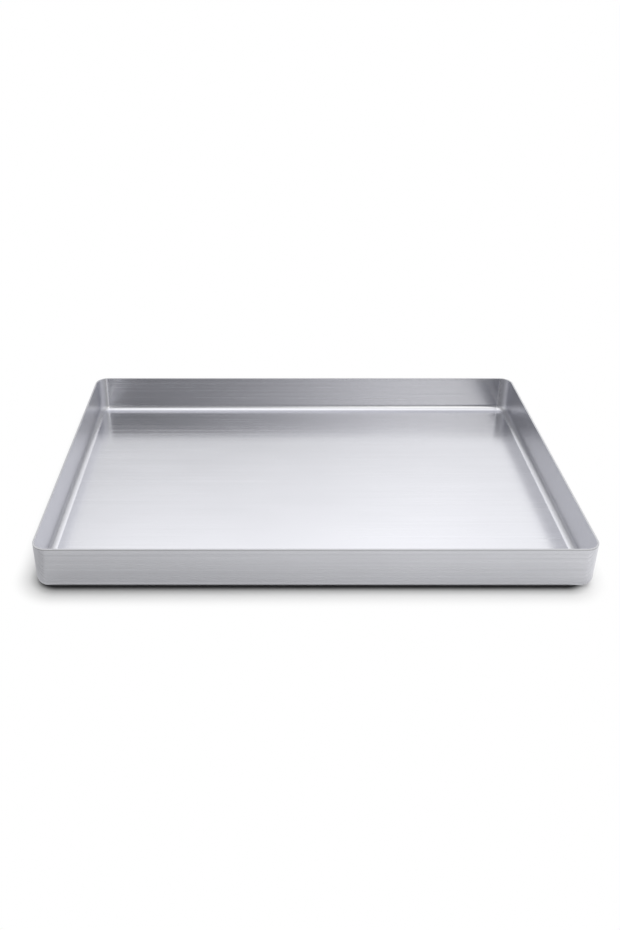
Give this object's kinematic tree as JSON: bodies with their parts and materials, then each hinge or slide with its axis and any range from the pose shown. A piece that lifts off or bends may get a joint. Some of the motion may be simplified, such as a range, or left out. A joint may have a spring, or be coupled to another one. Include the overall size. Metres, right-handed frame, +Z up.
{
  "type": "baklava tray",
  "caption": "Shallow rectangular baklava tray with straight sides, rounded corners, a radiused floor edge and a plain rim, pressed from brushed aluminium sheet.",
  "frame": {"origin": "middle of the underside, on the surface that the tray rests on", "axes": "+X along the long side, +Y along the short side, +Z up out of the open top"},
  "size_m": [0.6, 0.4, 0.052],
  "materials": {
    "brushed_aluminium": "fine brush lines along the long side, satin"
  },
  "bodies": {
    "root": {"pan": "brushed_aluminium"}
  },
  "joints": []
}
